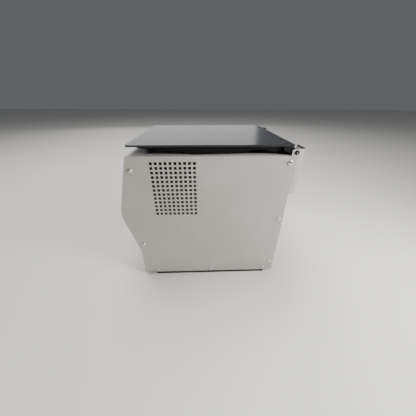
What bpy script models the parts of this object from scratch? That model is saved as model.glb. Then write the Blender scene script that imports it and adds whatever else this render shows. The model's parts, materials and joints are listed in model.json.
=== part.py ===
"""Bench-top thermal cycler: a folded sheet-metal case, a heated lid hinged at the rear, and its works.

Metres, +Z up. The front faces -Y and the user's right side is +X. The origin is on the table, under
the middle of the case. Each sub-part is one closed solid and one named object.
"""

import math

import bmesh
import bpy
from mathutils import Matrix, Vector

# Sheet metal and the gap kept between two pieces that meet
SHEET = 0.0015
GAP = 0.0003

# Case: the side panels' outline in Y and Z, and the half width over them
HALF_WIDTH = 0.120
BOTTOM = 0.007
SIDE_TOP = 0.2686
DECK_TOP = 0.269
REAR = 0.149
FRONT_CORNERS = [(-0.1325, 0.2686), (-0.161, 0.160), (-0.1372, 0.070), (-0.137, 0.007)]
NOSE_RADIUS = 0.050
FRONT_INSET = 0.0006
FLANGE = 0.014
INNER = HALF_WIDTH - SHEET - GAP

# Vents: square holes in rows and columns, given by the middle of the lowest hole at the front
VENT_PITCH = 0.008
VENT_SIZE = 0.005
VENT_START = (-0.0925, 0.161)
VENT_COLUMNS = 10
VENT_ROWS = 13

# Case screws, as places in Y and Z on each side panel
SIDE_SCREWS = [
    (-0.1273, 0.2455), (-0.1298, 0.0888), (-0.1113, 0.013), (0.0083, 0.013),
    (0.1281, 0.013), (0.1405, 0.0314), (0.1405, 0.146), (0.1395, 0.2577),
]
SCREW_HEAD_RADIUS = 0.004
SCREW_HEAD_HEIGHT = 0.0022
SCREW_RADIUS = 0.0017
SCREW_HOLE = 0.0021

# Rubber runners under the two sides, read as the feet
RUNNER_X = (0.106, 0.119)
RUNNER_Y = (-0.114, 0.132)

# Hinge: the bracket behind the case carries it, and its axis runs along X
HINGE_Y = 0.1473
HINGE_Z = 0.2741
KNUCKLE_RADIUS = 0.0046
PIN_RADIUS = 0.0024
PIN_HOLE = 0.0028
BRACKET_REAR = 0.1595
BRACKET_BOTTOM = 0.200
BRACKET_SILL = 0.268
TOWER_TOP = 0.2795
TOWER_WIDTH = 0.030

# Lid
LID_HALF_WIDTH = 0.1175
LID_FRONT = -0.1295
LID_REAR = 0.1435
LID_TOP = 0.286
LID_THICK = 0.003
SHELL_HALF_WIDTH = 0.111
SHELL_REAR = 0.1255
ARM_INNER = 0.066
ARM_FRONT = 0.1259
PLATE_SCREW_Y = 0.133
PLATE_SCREW_X = (0.079, 0.106)

# Lid latch, in the middle of the front edge
LATCH_Y = -0.118
LATCH_Z = 0.279
LATCH_HALF_WIDTH = 0.014
LATCH_RELEASED = math.radians(18)

# Sample block: wells of the usual pitch, over two Peltier modules and a finned heat sink
BLOCK_Y = 0.022
BLOCK_TOP = 0.254
BLOCK_HALF = (0.056, 0.038)
WELL_PITCH = 0.009
WELL_COLUMNS = 12
WELL_ROWS = 8
WELL_DEPTH = 0.0148
BAY_HALF = (0.0585, 0.0405)
FIN_COUNT = 15
FIN_PITCH = 0.008

# Heated platen, hung in the lid on four sprung posts
PLATEN_BOTTOM = 0.262
PLATEN_TOP = 0.268
POCKET_TOP = 0.2755
POST_X = 0.047
POST_Y = 0.029

# Fan, on the rear panel
FAN_Z = 0.150
FAN_HALF = 0.046
FAN_FRONT = 0.1216
FAN_REAR = 0.1466

# Rear panel fittings, as the middle of each in X and Z
INLET = (0.078, 0.047)
SWITCH = (0.030, 0.047)
SERIAL = (-0.070, 0.047)
ROCKER_TILT = math.radians(-8)

# Controls, in the control face's own frame: X across and V up the slope from its top corner
WINDOW_X = (-0.072, 0.024)
WINDOW_V = (-0.044, -0.018)
KEY_HALF = (0.007, 0.0052)
KEYS = {
    "key_up": (0.072, -0.019), "key_left": (0.052, -0.036), "key_enter": (0.072, -0.036),
    "key_right": (0.092, -0.036), "key_down": (0.072, -0.053), "key_menu": (-0.062, -0.068),
    "key_start": (-0.024, -0.068), "key_stop": (0.014, -0.068),
}

PAINT = ("case_paint", (0.53, 0.50, 0.455), 0.5, 0.0)
BRACKET_PAINT = ("bracket_paint", (0.62, 0.59, 0.54), 0.5, 0.0)
LID_BLACK = ("lid_black", (0.012, 0.013, 0.016), 0.22, 0.0)
MOULDED_BLACK = ("moulded_black", (0.015, 0.015, 0.016), 0.45, 0.0)
CHARCOAL = ("charcoal", (0.03, 0.03, 0.032), 0.4, 0.0)
RUBBER = ("rubber", (0.02, 0.02, 0.02), 0.8, 0.0)
STEEL = ("bright_steel", (0.62, 0.62, 0.60), 0.28, 1.0)
DARK_STEEL = ("dark_steel", (0.08, 0.08, 0.085), 0.4, 1.0)
ALUMINIUM = ("aluminium", (0.72, 0.73, 0.74), 0.32, 1.0)
SILICONE = ("silicone", (0.45, 0.12, 0.04), 0.7, 0.0)
CERAMIC = ("ceramic", (0.85, 0.84, 0.80), 0.6, 0.0)
BOARD = ("circuit_board", (0.02, 0.16, 0.06), 0.45, 0.0)
GLASS = ("window", (0.10, 0.16, 0.12), 0.08, 0.0)
KEY_GREY = ("key_grey", (0.25, 0.26, 0.28), 0.5, 0.0)
KEY_GREEN = ("key_green", (0.05, 0.30, 0.12), 0.5, 0.0)
KEY_RED = ("key_red", (0.45, 0.04, 0.03), 0.5, 0.0)


class Shape:
    """One or more closed bodies being drawn, all in one bmesh."""

    def __init__(self):
        self.bm = bmesh.new()

    def prism(self, outline, axis, low, high):
        """An outline raised along an axis. Its points are the other two coordinates, in X, Y, Z order."""
        spot = {"X": lambda a, b, h: (h, a, b), "Y": lambda a, b, h: (a, h, b), "Z": lambda a, b,
                h: (a, b, h)}
        corners = [self.bm.verts.new(spot[axis](a, b, low)) for a, b in outline]
        face = self.bm.faces.new(corners)
        raised = bmesh.ops.extrude_face_region(self.bm, geom=[face])
        moved = [item for item in raised["geom"] if isinstance(item, bmesh.types.BMVert)]
        bmesh.ops.translate(self.bm, vec=Vector(spot[axis](0, 0, high - low)), verts=moved)
        return self

    def box(self, x, y, z):
        return self.prism([(x[0], y[0]), (x[1], y[0]), (x[1], y[1]), (x[0], y[1])], "Z", *z)

    def turned(self, profile, place, axis="Z", sides=24):
        """A profile of (radius, height) points turned around an axis. It starts and ends on the axis."""
        turn = {"X": Matrix.Rotation(math.pi / 2, 4, "Y"), "Y": Matrix.Rotation(-math.pi / 2, 4, "X"),
                "Z": Matrix.Identity(4)}[axis]
        verts = [self.bm.verts.new((radius, 0, height)) for radius, height in profile]
        edges = [self.bm.edges.new(pair) for pair in zip(verts, verts[1:])]
        before = set(self.bm.verts) - set(verts)
        bmesh.ops.spin(self.bm, geom=verts + edges, cent=(0, 0, 0), axis=(0, 0, 1),
                       angle=math.tau, steps=sides, use_merge=True)
        new = [vert for vert in self.bm.verts if vert not in before]
        bmesh.ops.remove_doubles(self.bm, verts=new, dist=1e-6)
        new = [vert for vert in self.bm.verts if vert not in before]
        bmesh.ops.transform(self.bm, matrix=Matrix.Translation(place) @ turn, verts=new)
        return self

    def cylinder(self, radius, place, axis, low, high, sides=16):
        """A cylinder whose place gives its axis, and low and high its two ends along it."""
        start = {"X": (low, place[0], place[1]), "Y": (place[0], low, place[1]), "Z": (*place, low)}[axis]
        length = high - low
        return self.turned([(0, 0), (radius, 0), (radius, length), (0, length)], start, axis, sides)

    def turn(self, matrix):
        bmesh.ops.transform(self.bm, matrix=matrix, verts=self.bm.verts)
        return self

    def to_mesh(self, name, origin):
        bmesh.ops.recalc_face_normals(self.bm, faces=self.bm.faces)
        bmesh.ops.translate(self.bm, vec=-Vector(origin), verts=self.bm.verts)
        mesh = bpy.data.meshes.new(name)
        self.bm.to_mesh(mesh)
        self.bm.free()
        return mesh


def material_of(look):
    name, colour, roughness, metallic = look
    material = bpy.data.materials.get(name)
    if material is None:
        material = bpy.data.materials.new(name)
        material.use_nodes = True
        shader = material.node_tree.nodes["Principled BSDF"]
        shader.inputs["Base Color"].default_value = (*colour, 1)
        shader.inputs["Roughness"].default_value = roughness
        shader.inputs["Metallic"].default_value = metallic
    return material


def link(name, mesh, origin, parent):
    obj = bpy.data.objects.new(name, mesh)
    obj.location = origin
    obj.parent = parent
    bpy.context.scene.collection.objects.link(obj)
    return obj


def part(name, look, shape, cut=(), join=(), fill=(), origin=(0, 0, 0), parent=None, smooth=False):
    """The named sub-part: a shape, with shapes joined to it, then cut out of it, then filled back in.

    A cut or join is a Shape, or a pair of a Shape and the parent whose frame it is drawn in.
    """
    obj = link(name, shape.to_mesh(name, origin), origin, parent)
    obj.data.materials.append(material_of(look))
    for step, operation, tools in (("join", "UNION", join), ("cut", "DIFFERENCE", cut),
                                   ("fill", "UNION", fill)):
        for number, tool in enumerate(tools):
            tool_shape, tool_parent = tool if isinstance(tool, tuple) else (tool, parent)
            tool_name = f"{name}_{step}_{number}"
            helper = link(tool_name, tool_shape.to_mesh(tool_name, (0, 0, 0)), (0, 0, 0), tool_parent)
            helper.hide_render = True
            helper.display_type = "WIRE"
            modifier = obj.modifiers.new(tool_name, "BOOLEAN")
            modifier.operation = operation
            modifier.solver = "EXACT"
            modifier.object = helper
    if smooth:
        obj.data.shade_smooth()
        obj.data.set_sharp_from_angle(angle=math.radians(35))
    return obj


def rounded(x, y, radius, steps=3):
    """The outline of a rectangle with round corners."""
    points = []
    for cx, cy, start in ((x[1], y[1], 0), (x[0], y[1], 90), (x[0], y[0], 180), (x[1], y[0], 270)):
        middle = (cx - math.copysign(radius, cx - sum(x) / 2), cy - math.copysign(radius, cy - sum(y) / 2))
        for step in range(steps + 1):
            angle = math.radians(start + 90 * step / steps)
            points.append((middle[0] + radius * math.cos(angle), middle[1] + radius * math.sin(angle)))
    return points


def arc(centre, radius, start, end, steps):
    """Points on an arc, by angles in degrees."""
    angles = [math.radians(start + (end - start) * step / steps) for step in range(steps + 1)]
    return [(centre[0] + radius * math.cos(angle), centre[1] + radius * math.sin(angle)) for angle in angles]


def front_line(inset, top, bottom):
    """The case's front, from top to bottom, moved inwards: a slanted face, a round nose and an undercut."""
    lines = []
    for start, end in zip(FRONT_CORNERS, FRONT_CORNERS[1:]):
        along = (Vector(end) - Vector(start)).normalized()
        lines.append((Vector(start) + inset * Vector((-along.y, along.x)), along))

    def crossing(first, second):
        (p, d), (q, e) = first, second
        reach = ((q - p).x * e.y - (q - p).y * e.x) / (d.x * e.y - d.y * e.x)
        return p + reach * d

    def at_height(line, z):
        point, along = line
        return point + (z - point.y) / along.y * along

    nose, foot = crossing(lines[0], lines[1]), crossing(lines[1], lines[2])
    radius = NOSE_RADIUS - inset
    turn = lines[0][1].angle(lines[1][1])
    touch = nose - radius * math.tan(turn / 2) * lines[0][1]
    centre = touch + radius * Vector((-lines[0][1].y, lines[0][1].x))
    first = math.degrees(math.atan2(touch.y - centre.y, touch.x - centre.x))
    bend = arc(centre, radius, first, first + math.degrees(turn), 6)
    ends = (tuple(at_height(lines[0], top)), tuple(foot), tuple(at_height(lines[2], bottom)))
    return [ends[0], *bend, ends[1], ends[2]]


def vents():
    """Square holes through the right side panel."""
    holes = Shape()
    reach = (HALF_WIDTH - 0.003, HALF_WIDTH + 0.001)
    for column in range(VENT_COLUMNS):
        for row in range(VENT_ROWS):
            y = VENT_START[0] + column * VENT_PITCH
            z = VENT_START[1] + row * VENT_PITCH
            half = VENT_SIZE / 2
            holes.box(reach, (y - half, y + half), (z - half, z + half))
    return holes


def screw_cutter(places, reach):
    """Clearance holes for case screws, along X."""
    holes = Shape()
    for place in places:
        holes.cylinder(SCREW_HOLE, place, "X", *reach, sides=8)
    return holes


def both_sides(places):
    """Clearance holes for the case screws in the flanges on both sides."""
    return [screw_cutter(places, (INNER - 0.004, INNER + 0.001)),
            screw_cutter(places, (-INNER - 0.001, -INNER + 0.004))]


def pan_head():
    """The turned profile of a pan head, from its rim to its middle, counted outwards from the panel."""
    return [(SCREW_HEAD_RADIUS, GAP), (SCREW_HEAD_RADIUS, GAP + 0.4 * SCREW_HEAD_HEIGHT),
            (0.7 * SCREW_HEAD_RADIUS, GAP + 0.85 * SCREW_HEAD_HEIGHT), (0, GAP + SCREW_HEAD_HEIGHT)]


def side_panels():
    """The right panel has the vents. The left panel's screw heads are part of it."""
    outline = front_line(0, SIDE_TOP, BOTTOM) + [(REAR, BOTTOM), (REAR, SIDE_TOP)]
    holes = screw_cutter(SIDE_SCREWS, (HALF_WIDTH - 0.003, HALF_WIDTH + 0.001))
    right = Shape().prism(outline, "X", HALF_WIDTH - SHEET, HALF_WIDTH)
    part("side_panel_right", PAINT, right, cut=[vents(), holes])
    left = Shape().prism(outline, "X", -HALF_WIDTH, -HALF_WIDTH + SHEET)
    heads = Shape()
    rooted = [(0, -SHEET / 2), (SCREW_HEAD_RADIUS, -SHEET / 2), *pan_head()[1:]]
    for y, z in SIDE_SCREWS:
        heads.turned([(radius, -height) for radius, height in rooted], (-HALF_WIDTH, y, z), "X", sides=10)
    part("side_panel_left", PAINT, left, join=[heads])


def side_screws():
    shank = [(0, -0.008), (SCREW_RADIUS, -0.008), (SCREW_RADIUS, GAP)]
    for number, (y, z) in enumerate(SIDE_SCREWS, 1):
        screw = Shape().turned(shank + pan_head(), (HALF_WIDTH, y, z), "X", sides=10)
        part(f"side_screw_{number}", STEEL, screw, origin=(HALF_WIDTH, y, z), smooth=True)


def base_pan():
    low = BOTTOM + GAP
    tray = [(-INNER, low), (INNER, low), (INNER, low + 0.015), (INNER - SHEET, low + 0.015),
            (INNER - SHEET, low + SHEET), (SHEET - INNER, low + SHEET), (SHEET - INNER, low + 0.015),
            (-INNER, low + 0.015)]
    pan = Shape().prism(tray, "Y", -0.1345, 0.1468)
    posts = Shape()
    for x in (-0.100, 0.030):
        for y in (-0.060, 0.100):
            posts.cylinder(0.003, (x, y), "Z", low + SHEET / 2, 0.0197, sides=8)
    places = [place for place in SIDE_SCREWS if place[1] < 0.02]
    part("base_pan", PAINT, pan, join=[posts], cut=both_sides(places))


def rubber_runners():
    for name, side in (("rubber_runner_right", 1), ("rubber_runner_left", -1)):
        x = sorted(side * reach for reach in RUNNER_X)
        part(name, RUBBER, Shape().prism(rounded(x, RUNNER_Y, 0.003), "Z", 0, BOTTOM))


def front_panel(face):
    top = DECK_TOP - SHEET - GAP
    low = BOTTOM + GAP
    outer = front_line(FRONT_INSET, top, low)
    sheet = Shape().prism(outer + front_line(FRONT_INSET + SHEET, top, low)[::-1], "X", -INNER, INNER)
    wing = outer + front_line(FRONT_INSET + FLANGE, top, low)[::-1]
    wing = [(y, max(z, low + 0.016)) for y, z in wing]
    wings = [Shape().prism(wing, "X", INNER - SHEET, INNER), Shape().prism(wing, "X", -INNER, SHEET - INNER)]
    windows = Shape().prism(rounded(WINDOW_X, WINDOW_V, 0.0015, 2), "Z", -0.004, 0.002)
    for x, v in KEYS.values():
        width, height = KEY_HALF[0] + GAP, KEY_HALF[1] + GAP
        windows.box((x - width, x + width), (v - height, v + height), (-0.004, 0.002))
    places = [place for place in SIDE_SCREWS if place[0] < -0.12]
    part("front_panel", PAINT, sheet, join=wings, cut=[(windows, face), *both_sides(places)])


def top_deck():
    plate = Shape().prism([(-INNER, -0.1316), (INNER, -0.1316), (INNER, 0.1575), (-INNER, 0.1575)],
                          "Z", DECK_TOP - SHEET, DECK_TOP)
    sides = [Shape().box(reach, (-0.100, 0.128), (0.2612, DECK_TOP - SHEET / 2))
             for reach in ((INNER - SHEET, INNER), (-INNER, SHEET - INNER))]
    hole = Shape().prism(rounded((-0.103, 0.103), (-0.106, 0.131), 0.003), "Z", 0.260, 0.272)
    part("top_deck", PAINT, plate, join=sides, cut=[hole])


def slots(middle, half, rise):
    """Level slots that fill a circle in the rear panel."""
    cutter = Shape()
    for row in range(-4, 5):
        z = middle + row * 0.0095
        reach = math.sqrt(half ** 2 - (abs(row) * 0.0095) ** 2)
        cutter.box((-reach, reach), (0.145, 0.150), (z - rise / 2, z + rise / 2))
    return cutter


def rear_panel():
    low, high = BOTTOM + SHEET + 2 * GAP, 0.262
    plate = Shape().box((-INNER, INNER), (REAR - GAP - SHEET, REAR - GAP), (low, high))
    wings = [Shape().box(reach, (0.133, REAR - GAP - SHEET / 2), (low + 0.016, high))
             for reach in ((INNER - SHEET, INNER), (-INNER, SHEET - INNER))]
    ledge = Shape().box((-INNER + SHEET / 2, INNER - SHEET / 2), (0.137, REAR - GAP - SHEET / 2),
                        (high - SHEET, high - 0.0001))
    openings = Shape()
    for (x, z), (across, up) in ((INLET, (0.0142, 0.0172)), (SWITCH, (0.0118, 0.0158)),
                                 (SERIAL, (0.0102, 0.0062))):
        openings.box((x - across, x + across), (0.140, 0.155), (z - up, z + up))
    places = [place for place in SIDE_SCREWS if place[0] > 0.13]
    part("rear_panel", PAINT, plate, join=[*wings, ledge],
         cut=[slots(FAN_Z, 0.0425, 0.0055), openings, *both_sides(places)])


def hinge_bracket():
    """A shallow channel behind the case that rises at both ends into the towers that hold the hinge pins."""
    low, front, inside = BRACKET_BOTTOM, REAR + GAP, BRACKET_REAR - SHEET
    ear = [(front, low), (BRACKET_REAR, low), (BRACKET_REAR, TOWER_TOP - 0.001),
           (BRACKET_REAR - 0.001, TOWER_TOP),
           (0.1436, TOWER_TOP), (0.1398, TOWER_TOP - 0.0024), (0.1398, SIDE_TOP + GAP), (front,
                                                                                         SIDE_TOP + GAP)]
    end, root = HALF_WIDTH - 0.0005, HALF_WIDTH - TOWER_WIDTH
    wall = Shape().prism([(-end, low), (end, low), (end, TOWER_TOP - 0.0001),
                          (root + 0.002, TOWER_TOP - 0.0001),
                          (root, TOWER_TOP - 0.002), (root, BRACKET_SILL), (-root, BRACKET_SILL),
                          (-root, TOWER_TOP - 0.002), (-root - 0.002, TOWER_TOP - 0.0001),
                          (-end, TOWER_TOP - 0.0001)], "Y", inside, BRACKET_REAR - 0.0001)
    floor = Shape().box((-end, end), (front + 0.0001, BRACKET_REAR - SHEET / 2), (low + 0.0001, low + SHEET))
    ears = [Shape().prism(ear, "X", HALF_WIDTH - SHEET, HALF_WIDTH),
            Shape().prism(ear, "X", -HALF_WIDTH, SHEET - HALF_WIDTH)]
    pivots = Shape()
    for reach in ((HALF_WIDTH - 0.003, HALF_WIDTH + 0.001), (-HALF_WIDTH - 0.001, -HALF_WIDTH + 0.003)):
        pivots.cylinder(PIN_HOLE, (HINGE_Y, HINGE_Z), "X", *reach, sides=12)
    part("hinge_bracket", BRACKET_PAINT, wall, join=[*ears, floor], cut=[pivots])
    for name, side in (("lid_stop_buffer_right", 1), ("lid_stop_buffer_left", -1)):
        x = sorted((side * (root + 0.003), side * (HALF_WIDTH - 0.001)))
        part(name, RUBBER, Shape().box(x, (BRACKET_REAR - 0.0019, BRACKET_REAR - 0.0001),
                                       (TOWER_TOP + GAP, TOWER_TOP + 0.002)))


def hinge_pins():
    for name, side in (("hinge_pin_right", 1), ("hinge_pin_left", -1)):
        place = (side * HALF_WIDTH, HINGE_Y, HINGE_Z)
        profile = [(0, -0.020), (PIN_RADIUS, -0.020), (PIN_RADIUS, GAP), (0.004, GAP), (0.004, 0.0012),
                   (0.0028, 0.0022), (0, 0.0022)]
        profile = [(radius, side * height) for radius, height in profile]
        pin = Shape().turned(profile, place, "X", sides=12)
        part(name, DARK_STEEL, pin, origin=place, smooth=True)


def lid_plate():
    low = LID_TOP - LID_THICK
    plate = Shape().prism(rounded((-LID_HALF_WIDTH, LID_HALF_WIDTH), (LID_FRONT, LID_REAR), 0.003), "Z",
                          low, LID_TOP)
    recesses = Shape()
    for x in PLATE_SCREW_X:
        for side in (1, -1):
            recesses.cylinder(0.0042, (side * x, PLATE_SCREW_Y), "Z", LID_TOP - 0.0016, LID_TOP + 0.001,
                              sides=14)
    part("lid_plate", LID_BLACK, plate, cut=[recesses])


def lid_shell():
    top = LID_TOP - LID_THICK - GAP
    belly = [(-0.1125, 0.2802), (-0.0979, 0.279), (-0.0748, 0.2775), (-0.058, 0.2762), (-0.0428, 0.2737),
             (-0.0274, 0.2711), (-0.0142, 0.2701), (0.0139, 0.2706), (0.0305, 0.2717), (0.0587, 0.2725),
             (0.0665, 0.2737), (0.0744, 0.2764), (0.091, 0.2775), (0.1077, 0.2774), (SHELL_REAR, 0.2767)]
    shell = Shape().prism(belly + [(SHELL_REAR, top), (-0.1125, top)], "X", -SHELL_HALF_WIDTH,
                          SHELL_HALF_WIDTH)
    reach = LATCH_HALF_WIDTH + GAP
    lug = [(LATCH_Y - 0.0032, top), (LATCH_Y - 0.0032, LATCH_Z - 0.001), (LATCH_Y - 0.001, LATCH_Z - 0.0032),
           (-0.111, LATCH_Z - 0.0032), (-0.111, 0.2815), (-0.1115, top - 0.0001)]
    lugs = [Shape().prism(lug, "X", *sorted((side * reach, side * (reach + 0.0035)))) for side in (1, -1)]
    pocket = Shape().box((-BAY_HALF[0], BAY_HALF[0]), (BLOCK_Y - BAY_HALF[1], BLOCK_Y + BAY_HALF[1]),
                         (0.260, POCKET_TOP))
    posts, sinks = Shape(), Shape()
    for x, y in post_places():
        posts.cylinder(0.0031, (x, y), "Z", 0.270, 0.290, sides=12)
        sinks.cylinder(0.0056, (x, y), "Z", POCKET_TOP + 0.0022, 0.290, sides=12)
    pin = Shape().cylinder(0.0018, (LATCH_Y, LATCH_Z), "X", -0.030, 0.030, sides=10)
    part("lid_shell", MOULDED_BLACK, shell, join=lugs, cut=[pocket, posts, sinks, pin])


def post_places():
    return [(x, BLOCK_Y + y) for x in (POST_X, -POST_X) for y in (-POST_Y, POST_Y)]


def hinge_arms():
    top = LID_TOP - LID_THICK - GAP
    knuckle = arc((HINGE_Y, HINGE_Z), KNUCKLE_RADIUS, 110, -110, 14)
    outline = [(ARM_FRONT, top), (0.1424, top), (0.1428, 0.2800), *knuckle, (ARM_FRONT, 0.2768)]
    for name, side in (("lid_hinge_arm_right", 1), ("lid_hinge_arm_left", -1)):
        reach = sorted((side * ARM_INNER, side * LID_HALF_WIDTH))
        bore = Shape().cylinder(PIN_HOLE, (HINGE_Y, HINGE_Z), "X", *sorted((side * 0.0985, side * 0.119)),
                                sides=12)
        arm = Shape().prism(outline, "X", *reach)
        part(name, MOULDED_BLACK, arm, cut=[bore])


def platen():
    plate = Shape().box((-0.054, 0.054), (BLOCK_Y - 0.036, BLOCK_Y + 0.036), (PLATEN_BOTTOM, PLATEN_TOP))
    posts = Shape()
    for x, y in post_places():
        head = POCKET_TOP + 0.0022 + GAP
        posts.turned([(0, PLATEN_TOP - 0.002), (0.0024, PLATEN_TOP - 0.002), (0.0024, head), (0.0048, head),
                      (0.0048, head + 0.0014), (0, head + 0.0014)], (x, y, 0), sides=12)
    part("platen", ALUMINIUM, plate, join=[posts])
    mat = Shape().prism(rounded((-0.038, 0.038), (BLOCK_Y - 0.033, BLOCK_Y + 0.033), 0.003),
                        "Z", PLATEN_TOP + GAP, PLATEN_TOP + 0.0018)
    part("heater_mat", SILICONE, mat)


def platen_springs():
    """Round wire wound between the platen and the lid's pocket, one around each post."""
    low, high = PLATEN_TOP + GAP, POCKET_TOP - GAP
    wire, coil, turns, steps, sides = 0.0005, 0.0038, 2.5, 10, 5
    for number, (x, y) in enumerate(post_places(), 1):
        shape = Shape()
        rings = []
        count = round(turns * steps)
        for step in range(count + 1):
            angle = math.tau * turns * step / count
            height = low + wire + (high - low - 2 * wire) * step / count
            out = Vector((math.cos(angle), math.sin(angle), 0))
            middle = Vector((x, y, height)) + coil * out
            angles = [math.tau * side / sides for side in range(sides)]
            ring = [middle + wire * (math.cos(angle) * out + math.sin(angle) * Vector((0, 0, 1)))
                    for angle in angles]
            rings.append([shape.bm.verts.new(point) for point in ring])
        for first, second in zip(rings, rings[1:]):
            for side in range(sides):
                after = (side + 1) % sides
                shape.bm.faces.new((first[side], first[after], second[after], second[side]))
        shape.bm.faces.new(rings[0])
        shape.bm.faces.new(rings[-1])
        part(f"platen_spring_{number}", STEEL, shape, origin=(x, y, high), smooth=True)


def latch():
    pivot = Vector((0, LATCH_Y, LATCH_Z))
    lever = [(-0.0088, 0.0007), (-0.0088, -0.0012), (-0.003, -0.0024), (-0.0013, -0.003), (-0.0013, -0.0078),
             (0.0052, -0.0078), (0.0052, -0.0066), (0.0046, -0.0058), (0.0007, -0.0058), (0.0007, -0.003),
             *arc((0, 0), 0.0030, -60, 140, 8)]
    shape = Shape().prism(lever, "X", -LATCH_HALF_WIDTH, LATCH_HALF_WIDTH)
    bore = Shape().cylinder(0.0018, (0, 0), "X", -0.020, 0.020, sides=10)
    turn = Matrix.Translation(pivot) @ Matrix.Rotation(-LATCH_RELEASED, 4, "X")
    part("latch_lever", CHARCOAL, shape.turn(turn), cut=[bore.turn(turn)], origin=pivot)
    pin = Shape().cylinder(0.0014, (LATCH_Y, LATCH_Z), "X", -0.0175, 0.0175, sides=10)
    part("latch_pin", STEEL, pin, smooth=True)
    foot = DECK_TOP + GAP
    keeper = [(-0.1105, foot), (-0.1075, foot), (-0.1075, foot + 0.001), (-0.1095, foot + 0.001),
              (-0.1095, 0.2755),
              (-0.1142, 0.2755), (-0.1142, 0.2743), (-0.1105, 0.2743)]
    part("latch_keeper", STEEL, Shape().prism(keeper, "X", -0.010, 0.010))


def sample_block():
    y = (BLOCK_Y - BLOCK_HALF[1], BLOCK_Y + BLOCK_HALF[1])
    block = Shape().box((-BLOCK_HALF[0], BLOCK_HALF[0]), y, (0.228, BLOCK_TOP))
    flange = Shape().box((-0.0605, 0.0605), (y[0] - 0.0045, y[1] + 0.0045), (0.2281, 0.233))
    wells = Shape()
    for column in range(WELL_COLUMNS):
        for row in range(WELL_ROWS):
            x = (column - (WELL_COLUMNS - 1) / 2) * WELL_PITCH
            v = BLOCK_Y + (row - (WELL_ROWS - 1) / 2) * WELL_PITCH
            cone = [(0, BLOCK_TOP - WELL_DEPTH), (0.0013, BLOCK_TOP - WELL_DEPTH), (0.0028, BLOCK_TOP),
                    (0.0029, BLOCK_TOP + 0.001), (0, BLOCK_TOP + 0.001)]
            wells.turned(cone, (x, v, 0), sides=8)
    part("sample_block", ALUMINIUM, block, join=[flange], cut=[wells])


def bay_frame():
    top = DECK_TOP - 0.0006
    half_x, half_y = BAY_HALF
    plate = Shape().prism(rounded((-0.1027, 0.1027), (-0.1057, 0.1307), 0.0027), "Z", top - 0.003, top)
    lip = Shape().box((-0.107, 0.107), (-0.110, 0.134),
                      (DECK_TOP - SHEET - GAP - 0.003, DECK_TOP - SHEET - GAP))
    walls = Shape().box((-half_x - 0.003, half_x + 0.003),
                        (BLOCK_Y - half_y - 0.003, BLOCK_Y + half_y + 0.003),
                        (0.2334, top - 0.002))
    hole = Shape().box((-half_x, half_x), (BLOCK_Y - half_y, BLOCK_Y + half_y), (0.220, 0.280))
    part("bay_frame", CHARCOAL, plate, join=[lip, walls], cut=[hole])


def peltiers_and_heat_sink():
    for number, x in enumerate((0.027, -0.027), 1):
        module = Shape().box((x - 0.025, x + 0.025), (BLOCK_Y - 0.025, BLOCK_Y + 0.025), (0.2239, 0.2277))
        part(f"peltier_module_{number}", CERAMIC, module)
    base, root, tip, half = 0.2236, 0.2140, 0.152, 0.001
    span = (FIN_COUNT - 1) / 2 * FIN_PITCH + half
    comb = [(span, base), (-span, base)]
    for fin in range(FIN_COUNT):
        x = (fin - (FIN_COUNT - 1) / 2) * FIN_PITCH
        comb += [(x - half, root), (x - half, tip), (x + half, tip), (x + half, root)]
    comb.remove(comb[2])
    comb.remove(comb[-1])
    sink = Shape().prism(comb, "Y", BLOCK_Y - 0.044, BLOCK_Y + 0.044)
    part("heat_sink", ALUMINIUM, sink)


def fan():
    frame = Shape().prism(rounded((-FAN_HALF, FAN_HALF), (FAN_Z - FAN_HALF, FAN_Z + FAN_HALF), 0.004),
                          "Y", FAN_FRONT, FAN_REAR)
    tunnel = Shape().cylinder(0.0435, (0, FAN_Z), "Y", FAN_FRONT - 0.001, FAN_REAR + 0.001, sides=32)
    hub = Shape().cylinder(0.019, (0, FAN_Z), "Y", FAN_REAR - 0.0032, FAN_REAR - 0.0002, sides=24)
    arms = [Shape().box((-0.045, 0.045), (FAN_REAR - 0.003, FAN_REAR - 0.0004),
                        (FAN_Z - 0.002, FAN_Z + 0.002)),
            Shape().box((-0.002, 0.002), (FAN_REAR - 0.003, FAN_REAR - 0.0004),
                        (FAN_Z - 0.045, FAN_Z + 0.045))]
    part("fan_housing", MOULDED_BLACK, frame, cut=[tunnel], fill=[hub, *arms])
    origin = (0, (FAN_FRONT + FAN_REAR) / 2, FAN_Z)
    rotor = Shape().cylinder(0.018, (0, FAN_Z), "Y", 0.1235, 0.1425, sides=24)
    blades = Shape()
    for number in range(7):
        blade = Shape().box((-0.0008, 0.0008), (-0.0085, 0.0085), (0.0165, 0.0415))
        blade.turn(Matrix.Rotation(math.radians(38), 4, "Z"))
        blade.turn(Matrix.Rotation(math.tau * number / 7, 4, "Y"))
        blade.turn(Matrix.Translation((0, 0.133, FAN_Z)))
        mesh = blade.to_mesh("blade", (0, 0, 0))
        blades.bm.from_mesh(mesh)
        bpy.data.meshes.remove(mesh)
    part("fan_rotor", MOULDED_BLACK, rotor, join=[blades], origin=origin, smooth=True)


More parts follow.
